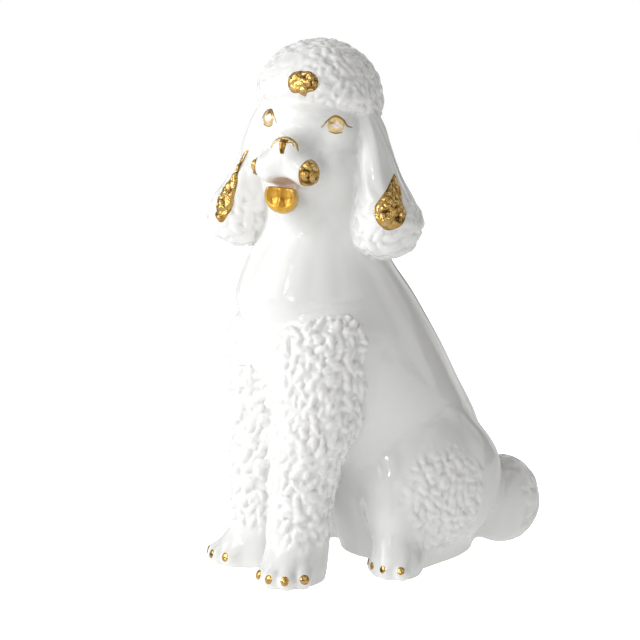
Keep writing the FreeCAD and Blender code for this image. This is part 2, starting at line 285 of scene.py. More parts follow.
def head_field(points):
    local = on_head(points)
    middle = MUZZLE_TURN
    head = ellipsoid(local, (0, 2, -6), (33, 37, 42))
    head = joined(head, ellipsoid(local, (0, -9, 9), (29.5, 30.5, 19)), 6)
    head = joined(head, tapered(local, (0, -16, -12), (middle, -35, -19), 19, 14.5), 9)
    head = joined(head, tapered(local, (0, -20, -2), (middle, -42, -12.5), 12, 10.5), 7)
    head = joined(head, tapered(local, (0, -6, -38), (middle, -33, -48), 18, 10), 8)
    for side in (1, -1):
        head = joined(head, ellipsoid(local, (side * 20, -17, 2), (13.5, 13, 15)), 4)
        head = joined(head, ellipsoid(local, (side * 20.5, -20.5, 6.5), (9.8, 9.9, 8.6)), 1.2)
        head = joined(head, ellipsoid(local, (side * 18, -12, -20), (15, 20, 20)), 8)
        head = joined(head, ellipsoid(local, (middle + side * 11, -39, -24), (12.8, 13, 11)), 6)
    head = joined(head, ellipsoid(local, (middle, -46, -9.5), (9.8, 6.4, 6.6)), 3)
    head = carved(head, ellipsoid(local, (middle - 1, -50, -35), (10.5, 16, 5.6)), 2)
    return carved(head, tapered(local, (middle, -54, -16), (middle, -54, -29), 1.0, 1.5), 2.5)


HAIR_MIDDLE = np.array([-1.3, 2.0, 20.4])
HAIR_HALF = np.array([41.8, 43.6, 39.4])
HAIRLINE = (23, -40, -0.38)                 # its height over the forehead, how far forward, its fall


def topknot_field(points):
    local = on_head(points)
    ball = ellipsoid(local, HAIR_MIDDLE, HAIR_HALF)
    height, back, fall = HAIRLINE
    above_hairline = local[..., 2] - height - fall * (local[..., 1] - back)
    return carved(ball, above_hairline, 12)


def ear_field(points, side):
    return lofted(on_head(points), EAR_LEFT if side > 0 else EAR_RIGHT, side)


TONGUE_MIDDLE = np.array([-3.6, -46.5, -42.2])
TONGUE_HALF = np.array([12, 6.4, 11.5])
TONGUE_TOP = 6.2                            # it is cut level this far above its middle


def tongue_field(points):
    """A cupped leaf with a level top edge and a furrow between two shallow lobes."""
    local = on_head(points)
    tilt = turned(nod=14)
    tongue = ellipsoid(local, TONGUE_MIDDLE, TONGUE_HALF, tilt)
    tongue = carved(tongue, TONGUE_MIDDLE[2] + TONGUE_TOP - local[..., 2], 1.2)
    for side in (1, -1):
        hollow = ellipsoid(local, TONGUE_MIDDLE + np.array([side * 4.4, -8.6, 1.0]), (6.4, 7.2, 9.2), tilt)
        tongue = carved(tongue, hollow, 0.8)
    return tongue


# Each casting, in the order they are luted together: its field and the width of its seam.
CASTINGS = {
    "torso": (torso_field, 0),
    "foreleg_left": (lambda points: foreleg_field(points, 1), 9),
    "foreleg_right": (lambda points: foreleg_field(points, -1), 9),
    "hindleg_left": (lambda points: hindleg_field(points, 1), 11),
    "hindleg_right": (lambda points: hindleg_field(points, -1), 11),
    "tail": (tail_field, 13),
    "head": (head_field, 14),
    "topknot": (topknot_field, 4),
    "ear_left": (lambda points: ear_field(points, 1), 4),
    "ear_right": (lambda points: ear_field(points, -1), 4),
    "tongue": (tongue_field, 0.8),
}
CAD_BOXES = {name: box_mm(name) for name in CASTINGS}
VENT_RADIUS = 4.5                           # the firing vent under the torso, as in the CAD
VENT_BACK = 30.0
VENT_DEPTH = 14.0                           # only its mouth is sculpted
FAR = F(99)                                 # distance where no casting is near
GRADIENT_STEP = 0.4


def near_castings(low, high):
    """The castings whose boxes come near the box from low to high."""
    return [
        name for name, (box_low, box_high) in CAD_BOXES.items()
        if np.all(box_low - REACH < high) and np.all(box_high + REACH > low)
    ]


def body_field(points, names=None):
    """Distance to the whole figurine's smooth skin, negative inside."""
    distance = np.full(points.shape[:-1], FAR, F)
    for name in CASTINGS if names is None else names:
        field, seam = CASTINGS[name]
        distance = joined(distance, field(points), seam)
    distance = np.maximum(distance, -points[..., 2])
    return carved(distance, vent_field(points), 1.0) if names is None or "torso" in names else distance


def vent_field(points):
    from_axis = np.hypot(points[..., 0], points[..., 1] - VENT_BACK) - VENT_RADIUS
    return np.maximum(from_axis, points[..., 2] - VENT_DEPTH)


def gradient(points, names=None):
    """Outward unit normals of the skin at the points."""
    normal = np.empty_like(points)
    for axis in range(3):
        shift = np.zeros(3, F)
        shift[axis] = GRADIENT_STEP
        normal[:, axis] = body_field(points + shift, names) - body_field(points - shift, names)
    return normal / (np.linalg.norm(normal, axis=1, keepdims=True) + F(1e-9))


# --- Relief of the coat --------------------------------------------------------------------

RANDOM = np.random.default_rng(11).random((4096, 7)).astype(F)
SCRAMBLE = np.array([73856093, 19349663, 83492791])     # spreads neighbouring cells over RANDOM
TUFT_MEAN = 0.3                             # about the mean of tufts(), so that the size is kept
STRAND_HEIGHT = 0.35                        # of the long grooves at the top of each ear


def smooth_step(low, high, value):
    t = np.clip((value - low) / (high - low), 0, 1)
    return t * t * (3 - 2 * t)


def tufts(points, normals, pitch, length, width, fall):
    """Overlapping comma-shaped tufts of hair, 0 to 1, one or so per pitch cubed."""
    cell = np.floor(points / pitch).astype(np.int64)
    height = np.zeros(len(points), F)
    for corner in itertools.product((-1, 0, 1), repeat=3):
        home = cell + np.array(corner)
        key = np.bitwise_xor.reduce(home * SCRAMBLE, axis=1) & (len(RANDOM) - 1)
        dice = RANDOM[key]
        middle = (home + 0.1 + 0.8 * dice[:, :3]).astype(F) * F(pitch)
        offset = points - middle
        depth = (offset * normals).sum(1)
        lie = dice[:, 3:6] * 2 - 1
        lie += np.asarray(fall, F)
        lie -= (lie * normals).sum(1, keepdims=True) * normals
        lie /= np.linalg.norm(lie, axis=1, keepdims=True) + F(1e-6)
        beside = np.cross(normals, lie)
        size = 0.75 + 0.5 * dice[:, 6]
        along = (offset * lie).sum(1) / (length * size)
        across = (offset * beside).sum(1) / (width * size) - (dice[:, 6] - 0.5) * along * along
        swell = np.clip(1 - along * along - across * across, 0, 1)
        swell = np.sqrt(swell) * (1 + 0.45 * along) * smooth_step(0.75, 0.35, np.abs(depth) / pitch)
        height = np.maximum(height, swell * size)
    return height


def wavy(points, scale):
    """Slow wandering value, about -1 to 1."""
    x, y, z = (points[:, axis] / scale for axis in range(3))
    return (np.sin(x * 1.7 + np.sin(y * 1.3) * 1.2) + np.sin(y * 1.9 + np.sin(z * 1.1) * 1.3)
            + np.sin(z * 1.5 + np.sin(x * 1.6) * 1.1)) / 3


def ear_turn(local, side):
    """Angle round an ear's own axis."""
    heights, across, *_ = zip(*(EAR_LEFT if side > 0 else EAR_RIGHT))
    return np.arctan2(local[:, 1] + 2, local[:, 0] - side * through(local[:, 2], heights, across))


def coat(points, normals, labels):
    """Height of the relief over the smooth skin, in millimetres."""
    height = np.zeros(len(points), F)
    ragged = wavy(points, 6.0) * 2.5

    def add(mask, tuft_height, **shape):
        chosen = mask > 0.01
        swell = tufts(points[chosen], normals[chosen], **shape)
        height[chosen] += mask[chosen] * tuft_height * (swell - TUFT_MEAN)

    local = on_head(points)
    for side, label in ((1, "left"), (-1, "right")):
        leg = labels == f"foreleg_{label}"
        limb = foreleg_field(points, side)
        torso = torso_field(points)
        above_paw = smooth_step(20, 36, points[:, 2] + ragged)
        off_chest = smooth_step(-0.5, 2.0, torso - limb + ragged * 0.7)
        add(leg * above_paw * off_chest, 2.2, pitch=5.6, length=5.2, width=2.6, fall=(0, -0.5, -0.6))
        thigh = labels == f"hindleg_{label}"
        middle = HINDLEG_FOOT * np.array([side, 1, 1]) + np.array([0, 2, 50])
        away = np.hypot((points[:, 1] - middle[1]) / 34, (points[:, 2] - middle[2]) / 39)
        outer = smooth_step(0.1, 0.6, side * normals[:, 0])
        add(thigh * smooth_step(1.1, 0.7, away + ragged * 0.04) * outer, 1.6,
            pitch=5.6, length=5.0, width=2.6, fall=(0, 0.4, -0.6))
        ear = labels == f"ear_{label}"
        lobe = smooth_step(-34, -52, local[:, 2] + ragged * 1.5)
        add(ear * lobe, 1.5, pitch=7.4, length=7.4, width=3.2, fall=(0, 0, -0.2))
        turn = ear_turn(local, side)
        groove = np.sin(turn * 9 + local[:, 2] * 0.05 + 1.4 * np.sin(local[:, 2] * 0.09 + turn * 2))
        height += ear * (1 - lobe) * STRAND_HEIGHT * (groove - 0.3) * smooth_step(18, 4, local[:, 2])
    front = smooth_step(-12, -30, local[:, 1])
    calm = front * smooth_step(10, -4, local[:, 0]) * smooth_step(-34, -22, local[:, 0])
    add((labels == "topknot") * (1 - 0.75 * calm), 1.5, pitch=5.6, length=5.0, width=2.5, fall=(0, 0, -0.25))
    off_hip = smooth_step(TAIL_FOOT[1] - 14, TAIL_FOOT[1] + 2, points[:, 1])
    add((labels == "tail") * off_hip, 1.0, pitch=8.5, length=8.0, width=4.4, fall=(0, 0, -0.1))
    return height * smooth_step(0.0, 3.0, points[:, 2])


# --- The skin ------------------------------------------------------------------------------

MARGIN = 6                                  # of the grid round the CAD boxes
BAND = 9                                    # distance written where the skin isn't near
HALF_DIAGONAL = 0.87                        # of a work block, as a share of its side
COARSE_BLOCK = 24.0                         # side of the blocks that loose points are sorted into


def skin_quads():
    """Vertices and four-sided faces of the smooth skin, in millimetres."""
    low = np.min([box[0] for box in CAD_BOXES.values()], axis=0) - MARGIN
    high = np.max([box[1] for box in CAD_BOXES.values()], axis=0) + MARGIN
    low[2] = -3 * VOXEL
    count = np.ceil((high - low) / VOXEL).astype(int) + 1
    grid = np.full(count, BAND, F)
    axes = [(low[axis] + VOXEL * np.arange(count[axis])).astype(F) for axis in range(3)]
    side = VOXEL * BLOCK
    for start in itertools.product(*(range(0, n, BLOCK) for n in count)):
        corner = low + VOXEL * np.array(start)
        names = near_castings(corner, corner + side)
        if not names:
            continue
        middle = (corner + side / 2).astype(F)
        distance = float(body_field(middle[None], names)[0])
        cut = tuple(slice(s, min(s + BLOCK, n)) for s, n in zip(start, count))
        if abs(distance) > side * HALF_DIAGONAL + MARGIN:
            grid[cut] = math.copysign(BAND, distance)
            continue
        points = np.stack(np.meshgrid(*(axis[c] for axis, c in zip(axes, cut)), indexing="ij"), -1)
        grid[cut] = body_field(points, names)
    volume = openvdb.FloatGrid()
    volume.copyFromArray(grid)
    vertices, quads = volume.convertToQuads(0.0)
    return (vertices * VOXEL + low).astype(F), quads[:, ::-1].astype(np.int32)


def by_block(points, work):
    """Run work(points, names) on the points of each coarse block, with only the castings near it."""
    keys = np.floor(points / COARSE_BLOCK).astype(np.int64)
    order = np.lexsort(keys.T)
    edges = np.flatnonzero(np.any(np.diff(keys[order], axis=0), axis=1)) + 1
    result = None
    for chosen in np.split(order, edges):
        corner = keys[chosen[0]] * COARSE_BLOCK
        names = near_castings(corner, corner + COARSE_BLOCK)
        part = work(points[chosen], names)
        if result is None:
            result = np.empty((len(points),) + part.shape[1:], part.dtype)
        result[chosen] = part
    return result


def nearest_casting(points):
    """The name of the casting that each point belongs to."""
    def work(some, names):
        distances = np.stack([CASTINGS[name][0](some) for name in names])
        return np.array(names, dtype="U16")[distances.argmin(0)]
    return by_block(points, work)


def settled(points):
    """The points moved onto the smooth skin."""
    def work(some, names):
        for _ in range(2):
            distance = body_field(some, names)
            some = some - gradient(some, names) * distance[:, None] * F(0.9)
        return some
    return by_block(points, work)


def vertex_normals(vertices, quads):
    corner = vertices[quads]
    face = np.cross(corner[:, 2] - corner[:, 0], corner[:, 3] - corner[:, 1])
    normal = np.zeros_like(vertices)
    for k in range(4):
        for axis in range(3):
            normal[:, axis] += np.bincount(quads[:, k], face[:, axis], len(vertices))
    return normal / (np.linalg.norm(normal, axis=1, keepdims=True) + 1e-12)


def new_mesh(name, vertices, faces, normals, values):
    """A mesh object from millimetre vertices and faces of three or four corners."""
    mesh = bpy.data.meshes.new(name)
    mesh.vertices.add(len(vertices))
    mesh.vertices.foreach_set("co", (np.asarray(vertices) * MM).astype(F).ravel())
    sizes = np.array([len(face) for face in faces], np.int32)
    mesh.loops.add(int(sizes.sum()))
    mesh.loops.foreach_set("vertex_index", np.concatenate(faces).astype(np.int32))
    mesh.polygons.add(len(faces))
    mesh.polygons.foreach_set("loop_start", (np.cumsum(sizes) - sizes).astype(np.int32))
    mesh.update(calc_edges=True)
    mesh.polygons.foreach_set("use_smooth", np.ones(len(faces), bool))
    if normals is not None:
        mesh.normals_split_custom_set_from_vertices(normals)
    for key, numbers in values.items():
        mesh.attributes.new(key, "FLOAT", "POINT").data.foreach_set("value", numbers.astype(F))
    piece = bpy.data.objects.new(name, mesh)
    bpy.context.scene.collection.objects.link(piece)
    return piece


def finish_piece(piece, node, material):
    piece.data.materials.append(material)
    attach(piece, "root")
    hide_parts(node)


def make_skin(glaze, tongue_glaze):
    """One skin with its relief, split into the castings; shared normals hide the splits."""
    vertices, quads = skin_quads()
    vertices = settled(vertices)
    vertices[:, 2] = np.maximum(vertices[:, 2], 0)
    normals = by_block(vertices, gradient)
    labels = nearest_casting(vertices)
    relief = coat(vertices, normals, labels)
    vertices = vertices + normals * relief[:, None]
    vertices[:, 2] = np.maximum(vertices[:, 2], 0)
    shown_normals = vertex_normals(vertices, quads)
    local = on_head(vertices)
    mouth = smooth_step(1.6, 0.2, ellipsoid(local, (MUZZLE_TURN - 0.5, -47, -35), (9.6, 13, 4.4)))
    across = (local - TONGUE_MIDDLE.astype(F)) / TONGUE_HALF.astype(F)
    values = {
        "relief": relief,
        "mouth": mouth * (labels == "head"),
        "bare": (vertices[:, 2] < 0.3).astype(F),
        "rim": smooth_step(0.80, 0.94, np.hypot(across[:, 0], across[:, 2])),
    }
    face_labels = labels[quads[:, 0]]
    for name in CASTINGS:
        used, own = np.unique(quads[face_labels == name], return_inverse=True)
        own_values = {key: numbers[used] for key, numbers in values.items()}
        piece = new_mesh(name, vertices[used], own.reshape(-1, 4), shown_normals[used], own_values)
        if name == "tongue":
            finish_piece(piece, name, tongue_glaze)
        else:
            finish_piece(piece, name, glaze)


# --- Lustre: thin painted layers cast onto the skin ----------------------------------------

LUSTRE_PROUD = 0.22                         # its face, above the glaze
LUSTRE_SUNK = 0.6                           # its closed underside, below the glaze
CAST_FROM = 14.0                            # how far outside its plane the casting starts
CAST_STEPS = 36
CAST_STRIDE = F(0.85)                       # share of the distance to the skin taken in a step


def cast_on(points, direction):
    """Each point moved along the direction until it meets the curly skin, and the normals there."""
    points = points.astype(F)
    direction = np.asarray(direction, F)
    for _ in range(CAST_STEPS):
        points = points + direction * body_field(points)[:, None] * CAST_STRIDE
    normals = gradient(points)
    return points + normals * coat(points, normals, nearest_casting(points))[:, None], normals


class Painting:
    """The lustre of one CAD node, brushed on from a plane that faces the skin."""

    def __init__(self, axes, origin):
        self.axes = axes
        self.origin = np.asarray(origin, float)
        self.vertices, self.faces = [], []
        self.values = {"relief": [], "line": [], "pearl": []}
        self.count = 0

    def add(self, flat, faces, edge, inner, line=0.0, crumple=0.0, pearl=None):
        """Faces over flat points (across, up), cast onto the skin and closed underneath.

        edge is the rim in order, inner is 0 at the rim and 1 well inside, line is 1 for the darker
        gold of a fine stroke, and the last argument is (across, up, radius) of a painted pale highlight.
        """
        flat = np.asarray(flat, float)
        across, inward, up = self.axes.T
        start = self.origin + flat[:, :1] * across + flat[:, 1:2] * up - inward * CAST_FROM
        points, normals = cast_on(start, inward)
        relief = np.zeros(len(flat), F)
        if crumple:
            relief = tufts(points, normals, pitch=4.4, length=4.0, width=2.5, fall=(0, 0, 0))
        inner = np.asarray(inner, F)
        proud = LUSTRE_PROUD * smooth_step(0, 0.15, inner) + crumple * relief * inner
        top = points + normals * proud[:, None]
        bottom = points[edge] - normals[edge] * LUSTRE_SUNK
        base, rim = self.count, self.count + len(flat)
        self.vertices += [top, bottom]
        self.faces += [tuple(base + i for i in face) for face in faces]
        ring = list(range(len(edge)))
        for i, j in zip(ring, ring[1:] + ring[:1]):
            self.faces.append((base + edge[j], base + edge[i], rim + i, rim + j))
        self.faces.append(tuple(rim + i for i in reversed(ring)))
        # Painted highlight: the pale spot on the gold, fading out from its middle.
        spot = np.zeros(len(flat), F)
        if pearl is not None:
            spot = smooth_step(1, 0.3, np.hypot(*(flat - pearl[:2]).T) / pearl[2])
        looks = {
            "relief": relief * inner + 0.3 * (1 - inner),
            "line": np.full(len(flat), line),
            "pearl": spot,
        }
        for key, numbers in looks.items():
            self.values[key] += [numbers, numbers[edge]]
        self.count += len(flat) + len(edge)

    def patch(self, outline, rings, **look):
        """A patch bounded by a closed outline of (across, up) points."""
        outline = np.asarray(outline, float)
        middle = outline.mean(0)
        n = len(outline)
        flat, inner = [middle], [1.0]
        for ring in range(1, rings + 1):
            flat += list(middle + (outline - middle) * ring / rings)
            inner += [min(1.0, (1 - ring / rings) * 3.0)] * n
        faces = [(0, 1 + (i + 1) % n, 1 + i) for i in range(n)]
        for ring in range(rings - 1):
            a, b = 1 + ring * n, 1 + (ring + 1) * n
            faces += [(a + i, a + (i + 1) % n, b + (i + 1) % n, b + i) for i in range(n)]
        self.add(flat, faces, list(range(1 + (rings - 1) * n, 1 + rings * n)), inner, **look)

    def stroke(self, path, widths, columns=4, **look):
        """A brush stroke along (across, up) points, with its width at each."""
        path, widths = np.asarray(path, float), np.asarray(widths, float)
        tangent = np.gradient(path, axis=0)
        tangent /= np.linalg.norm(tangent, axis=1, keepdims=True)
        beside = np.stack([-tangent[:, 1], tangent[:, 0]], 1)
        spread = np.linspace(-0.5, 0.5, columns + 1)
        flat = [p + b * w * s for p, b, w in zip(path, beside, widths) for s in spread]
        inner = [1 - abs(2 * s) for _ in path for s in spread]
        step, rows = columns + 1, len(path)
        faces = [
            (r * step + c, r * step + c + 1, (r + 1) * step + c + 1, (r + 1) * step + c)
            for r in range(rows - 1) for c in range(columns)
        ]
        edge = (list(range(columns, -1, -1)) + [r * step for r in range(1, rows)]
                + [(rows - 1) * step + c for c in range(1, columns + 1)]
                + [r * step + columns for r in range(rows - 2, 0, -1)])
        self.add(flat, faces, edge[::-1], inner, **{"line": 1.0, **look})

    def finish(self, node, material):
        values = {key: np.concatenate(numbers) for key, numbers in self.values.items()}
        piece = new_mesh(node, np.concatenate(self.vertices), self.faces, None, values)
        finish_piece(piece, node, material)


def curve(points, count):
    """Evenly spread points on a smooth curve through a few points."""
    points = np.asarray(points, float)
    along = np.concatenate([[0], np.cumsum(np.linalg.norm(np.diff(points, axis=0), axis=1))])
    at = np.linspace(0, along[-1], count).astype(F)
    return np.stack([through(at, along, points[:, k]) for k in range(2)], 1)


def closed_curve(points, count):
    """Evenly spread points on a smooth closed curve through a few points."""
    points = np.asarray(points, float)
    again = np.concatenate([points[-2:], points, points[:3]])
    along = np.concatenate([[0], np.cumsum(np.linalg.norm(np.diff(again, axis=0), axis=1))])
    at = np.linspace(along[2], along[2 + len(points)], count, endpoint=False).astype(F)
    return np.stack([through(at, along, again[:, k]) for k in range(2)], 1)


def brushed(count, low, high):
    """Widths of a stroke that starts and ends fine."""
    return low + (high - low) * np.sin(np.linspace(0, np.pi, count))


def facing(place, yaw, nod=0.0):
    """A painting plane at a place on the head, facing outward at a yaw from the head's front."""
    return Painting(HEAD_AXES @ turned(yaw=yaw, nod=nod), HEAD_MIDDLE + HEAD_AXES @ np.asarray(place, float))


# Outlines and fine lines on their painting planes: across to the dog's left, and up.
TOPKNOT_SPOT = (
    (-10.4, 1), (-8.5, 5.5), (-3, 7.6), (3, 7.4), (8, 5), (10.4, 0.5),
    (8.8, -4), (4, -6), (1.5, -8.6), (-2, -6.8), (-6.5, -7), (-9.6, -3.5),
)
WHISKERS = (
    (-7, 3), (-3.6, 7.2), (1, 8.8), (5, 5.6), (6.8, -0.6),
    (6.2, -6.4), (1.8, -8.9), (-4.4, -7.8), (-6.6, -4.6),
)
LEFT_DROP = (
    (2.7, 19), (5.4, 14.5), (7.4, 9.5), (8.2, 2.6), (10.6, -4), (8.2, -11.8),
    (-1.8, -16.2), (-8.4, -10.7), (-10.6, -2), (-7, 4), (-2.4, 10.3), (1.2, 16.5),
)
RIGHT_DROP = (
    (8.6, 33), (5.6, 24), (4.6, 18), (6.2, 12), (6, 2), (4.4, -9), (-0.8, -16.5),
    (-5.8, -13), (-7.4, -5), (-5.8, 4), (-2.0, 11), (2.6, 18), (5.0, 25), (7.8, 32.6),
)
IRIS = (
    (-5.6, -0.6), (-4.6, 3), (-1, 5.2), (3, 4.6), (5.6, 1.8),
    (5.2, -1.6), (3.4, -4.6), (-0.5, -5.2), (-4, -4.4),
)
LID = ((-9.6, -2.4), (-6, 2.2), (-0.6, 5.4), (4.6, 3.4), (8, -0.6), (11.4, -1.2))
UNDER_LID = ((-4.4, -4.5), (-0.4, -5.4), (4.2, -4.7))
NOSE_ARCH = ((-9.2, -3.2), (-7.6, 1.2), (-3.6, 3.4), (0, 4.6), (4, 3.6), (7.8, 1), (9.4, -3.4))

NOSE_STEM = ((-0.2, 3.2), (-0.3, 0), (-0.2, -3.5), (-0.2, -6.2))
NOSTRIL = ((1.6, 0.4), (4.4, 1.6), (7.2, -0.9))
# By side: where the whiskers are painted, the yaw that they face and the scale of their outline.
WHISKER_PLACES = {1: ((16.5, -49, -24.6), 36, (1, 1)), -1: ((-25, -43, -24.4), -72, (-0.62, 0.66))}
# By side: the outline on the ear, where it is painted and the yaw that it faces.
EAR_DROPS = {1: (LEFT_DROP, (64, -23, -42), 28), -1: (RIGHT_DROP, (-52, -35, -50), -2)}


def make_whiskers(gold, side, label):
    place, yaw, scale = WHISKER_PLACES[side]
    lip = facing(place, yaw)
    lip.patch(closed_curve(np.array(WHISKERS) * scale, 84)[::side], rings=18, crumple=1.9)
    lip.finish(f"whisker_gilding_{label}", gold)


def make_ear_drop(gold, side, label):
    outline, place, yaw = EAR_DROPS[side]
    fringe = facing(place, yaw)
    fringe.patch(closed_curve(outline, 120), rings=26, crumple=2.0)
    fringe.finish(f"ear_gilding_{label}", gold)


def make_eye(pearl, side, label):
    mirror = np.array([side, 1])
    eye = facing((side * 24.3, -29.5, 6.8), side * 32)
    # The iris, with a painted pale highlight a little off its middle.
    eye.patch(closed_curve(np.array(IRIS) * mirror, 84)[::side], rings=14, pearl=(side * 0.4, -0.4, 3.6))
    eye.stroke(curve(np.array(LID) * mirror, 44)[::side], brushed(44, 0.5, 1.5))
    eye.stroke(curve(np.array(UNDER_LID) * mirror, 16)[::side], brushed(16, 0.4, 1.2))
    eye.finish(f"eye_gilding_{label}", pearl)


def make_nose(gold):
    nose = facing((MUZZLE_TURN, -50, -7.5), 0, -8)
    nose.stroke(curve(NOSE_ARCH, 52), brushed(52, 0.8, 1.7), line=0.8)
    nose.stroke(curve(NOSE_STEM, 22), np.linspace(7.4, 3.0, 22) ** 0.92, columns=8, line=0.0)
    for side in (1, -1):
        nostril = curve(np.array(NOSTRIL) * np.array([side, 1]), 18)[::side]
        nose.stroke(nostril, brushed(18, 0.3, 0.9))
    nose.finish("nose_gilding", gold)


def make_lustre(gold, pearl):
    spot = facing((2.5, -40, 33), 4, -14)
    spot.patch(closed_curve(TOPKNOT_SPOT, 96), rings=22, crumple=1.3)
    spot.finish("topknot_gilding", gold)
    for side, label in ((1, "left"), (-1, "right")):
        make_whiskers(gold, side, label)
        make_ear_drop(gold, side, label)
        make_eye(pearl, side, label)
    make_nose(gold)


# Each limb's toes, the middle and splay of its paw, and the half height of its claws.
CLAWED = (
    ("foreleg", FORETOES, forepaw_middle, FOREPAW_SPLAY, 3.3),
    ("hindleg", HINDTOES, hindpaw_middle, HINDPAW_SPLAY, 2.6),
)
CLAW_FAN = 2.6                              # degrees of turn for each millimetre across the paw
CLAW_LIFT = 1.2


def make_claws(gold):
    round_claw = np.linspace(0, 2 * np.pi, 24, endpoint=False)
    for limb, toes, middle_of, splay, size in CLAWED:
        for side, label in ((1, "left"), (-1, "right")):
            axes = turned(yaw=side * splay[side])
            claws = Painting(axes, middle_of(side))
            for across, ahead in toes:
                claws.axes = turned(yaw=side * (splay[side] + across * CLAW_FAN))
                claws.origin = middle_of(side) + axes @ np.array([side * across, -ahead, 0])
                wide = size * (1 if across > 5 else 0.85)
                high = size * 0.95
                outline = np.stack([wide * np.cos(round_claw), high * np.sin(round_claw) + CLAW_LIFT], 1)
                claws.patch(outline, rings=7, crumple=0.25)
            claws.finish(f"{limb}_{label}_claws", gold)


# --- Materials -----------------------------------------------------------------------------

def new_material(name):
    material = bpy.data.materials.new(name)
    material.use_nodes = True
    tree = material.node_tree
    return material, tree, tree.nodes["Principled BSDF"]


def add_node(tree, kind, **settings):
    node = tree.nodes.new(kind)
    for key, value in settings.items():
        if key in node.inputs:
            node.inputs[key].default_value = value
        else:
            setattr(node, key, value)
    return node


def attribute(tree, name):
    return add_node(tree, "ShaderNodeAttribute", attribute_name=name).outputs["Fac"]


def ramp(tree, value, stops):
    """Colour by value: stops are (position, colour)."""
    node = tree.nodes.new("ShaderNodeValToRGB")
    elements = node.color_ramp.elements
    while len(elements) < len(stops):
        elements.new(0.5)
    for element, (position, colour) in zip(elements, stops):
        element.position = position
        element.color = (*colour, 1)
    tree.links.new(value, node.inputs["Fac"])
    return node.outputs["Color"]


def mixed(tree, share, one, other):
    node = add_node(tree, "ShaderNodeMix", data_type="RGBA")
    tree.links.new(share, node.inputs[0])
    for socket, value in ((node.inputs[6], one), (node.inputs[7], other)):
        if isinstance(value, tuple):
            socket.default_value = (*value, 1)
        else:
            tree.links.new(value, socket)
    return node.outputs[2]


def shifted(tree, value, low, high, to_low=0.0, to_high=1.0):
    node = tree.nodes.new("ShaderNodeMapRange")
    tree.links.new(value, node.inputs[0])
    for socket, number in zip(node.inputs[1:5], (low, high, to_low, to_high)):
        socket.default_value = number
    return node.outputs[0]


def noise(tree, scale, detail=2.0):
    place = tree.nodes.new("ShaderNodeTexCoord")
    node = add_node(tree, "ShaderNodeTexNoise", Scale=scale, Detail=detail)
    tree.links.new(place.outputs["Object"], node.inputs["Vector"])
    return node.outputs["Fac"]


def bumped(tree, shader, height, strength, distance):
    bump = add_node(tree, "ShaderNodeBump", Strength=strength, Distance=distance)
    tree.links.new(height, bump.inputs["Height"])
    tree.links.new(bump.outputs["Normal"], shader.inputs["Normal"])


def white_glaze():
    """Thick white glaze, with painted grey shade in the hollows between the curls; bare clay where it
    stands.
    """
    material, tree, shader = new_material("white_glaze")
    # Painted shade: the glaze colour turns greyer where the coat's relief is low, in the hollows between the
    # curls.
    curl_hollow_shade = shifted(tree, attribute(tree, "relief"), -0.45, 0.55)
    cloudy = ramp(tree, noise(tree, 14, 3), ((0.35, (0.87, 0.87, 0.855)), (0.65, (0.91, 0.91, 0.90))))
    body = mixed(tree, curl_hollow_shade, (0.80, 0.805, 0.79), cloudy)
    body = mixed(tree, attribute(tree, "mouth"), body, (0.74, 0.62, 0.53))
    body = mixed(tree, attribute(tree, "bare"), body, (0.72, 0.66, 0.57))
    tree.links.new(body, shader.inputs["Base Color"])
    gloss = shifted(tree, noise(tree, 30), 0.3, 0.7, 0.07, 0.13)
    rough = add_node(tree, "ShaderNodeMix", data_type="FLOAT")
    tree.links.new(attribute(tree, "bare"), rough.inputs[0])
    tree.links.new(gloss, rough.inputs[2])
    rough.inputs[3].default_value = 0.85
    tree.links.new(rough.outputs[0], shader.inputs["Roughness"])
    bumped(tree, shader, noise(tree, 90, 2), 0.25, 0.0006)
    return material


def gold_lustre():
    """Bright gold over glaze, with painted dark shade in its hollows and painted shade towards the edges of
    small facets.
    """
    material, tree, shader = new_material("gold_lustre")
    worn = noise(tree, 260, 4)
    washes = ((0.3, (0.52, 0.29, 0.07)), (0.5, (0.80, 0.55, 0.20)), (0.7, (0.95, 0.78, 0.44)))
    gold = ramp(tree, worn, washes)
    # Painted shade: each small facet of the gold darkens towards its edges.
    facets = add_node(tree, "ShaderNodeTexVoronoi", Scale=330.0)
    shade = shifted(tree, facets.outputs["Distance"], 0.1, 0.75)
    gold = mixed(tree, shade, gold, (0.36, 0.21, 0.055))
    # Painted shade: near-black brown where the lustre's relief is low, in its hollows.
    gold = mixed(tree, shifted(tree, attribute(tree, "relief"), 0.02, 0.5), (0.13, 0.06, 0.014), gold)
    gold = mixed(tree, attribute(tree, "line"), gold, (0.60, 0.40, 0.14))
    tree.links.new(gold, shader.inputs["Base Color"])
    shader.inputs["Metallic"].default_value = 1.0
    tree.links.new(shifted(tree, worn, 0.3, 0.7, 0.22, 0.08), shader.inputs["Roughness"])
    bumped(tree, shader, noise(tree, 380, 3), 0.5, 0.0006)
    return material


def pearl_lustre():
    """Gold irises, each with a painted pale highlight that is less metallic, under darker gold lid lines."""
    material, tree, shader = new_material("pearl_lustre")
    washes = ((0.35, (0.62, 0.42, 0.16)), (0.5, (0.78, 0.58, 0.28)), (0.65, (0.88, 0.72, 0.42)))
    tint = ramp(tree, noise(tree, 160, 2), washes)
    # Painted highlight: a pale pink, less metallic spot on each iris.
    tint = mixed(tree, attribute(tree, "pearl"), tint, (0.95, 0.84, 0.82))
    tint = mixed(tree, attribute(tree, "line"), tint, (0.34, 0.22, 0.07))
    tree.links.new(tint, shader.inputs["Base Color"])
    tree.links.new(shifted(tree, attribute(tree, "pearl"), 0, 1, 0.9, 0.25), shader.inputs["Metallic"])
    tree.links.new(shifted(tree, noise(tree, 300), 0.3, 0.7, 0.14, 0.26), shader.inputs["Roughness"])
    bumped(tree, shader, noise(tree, 260, 2), 0.2, 0.0004)
    return material


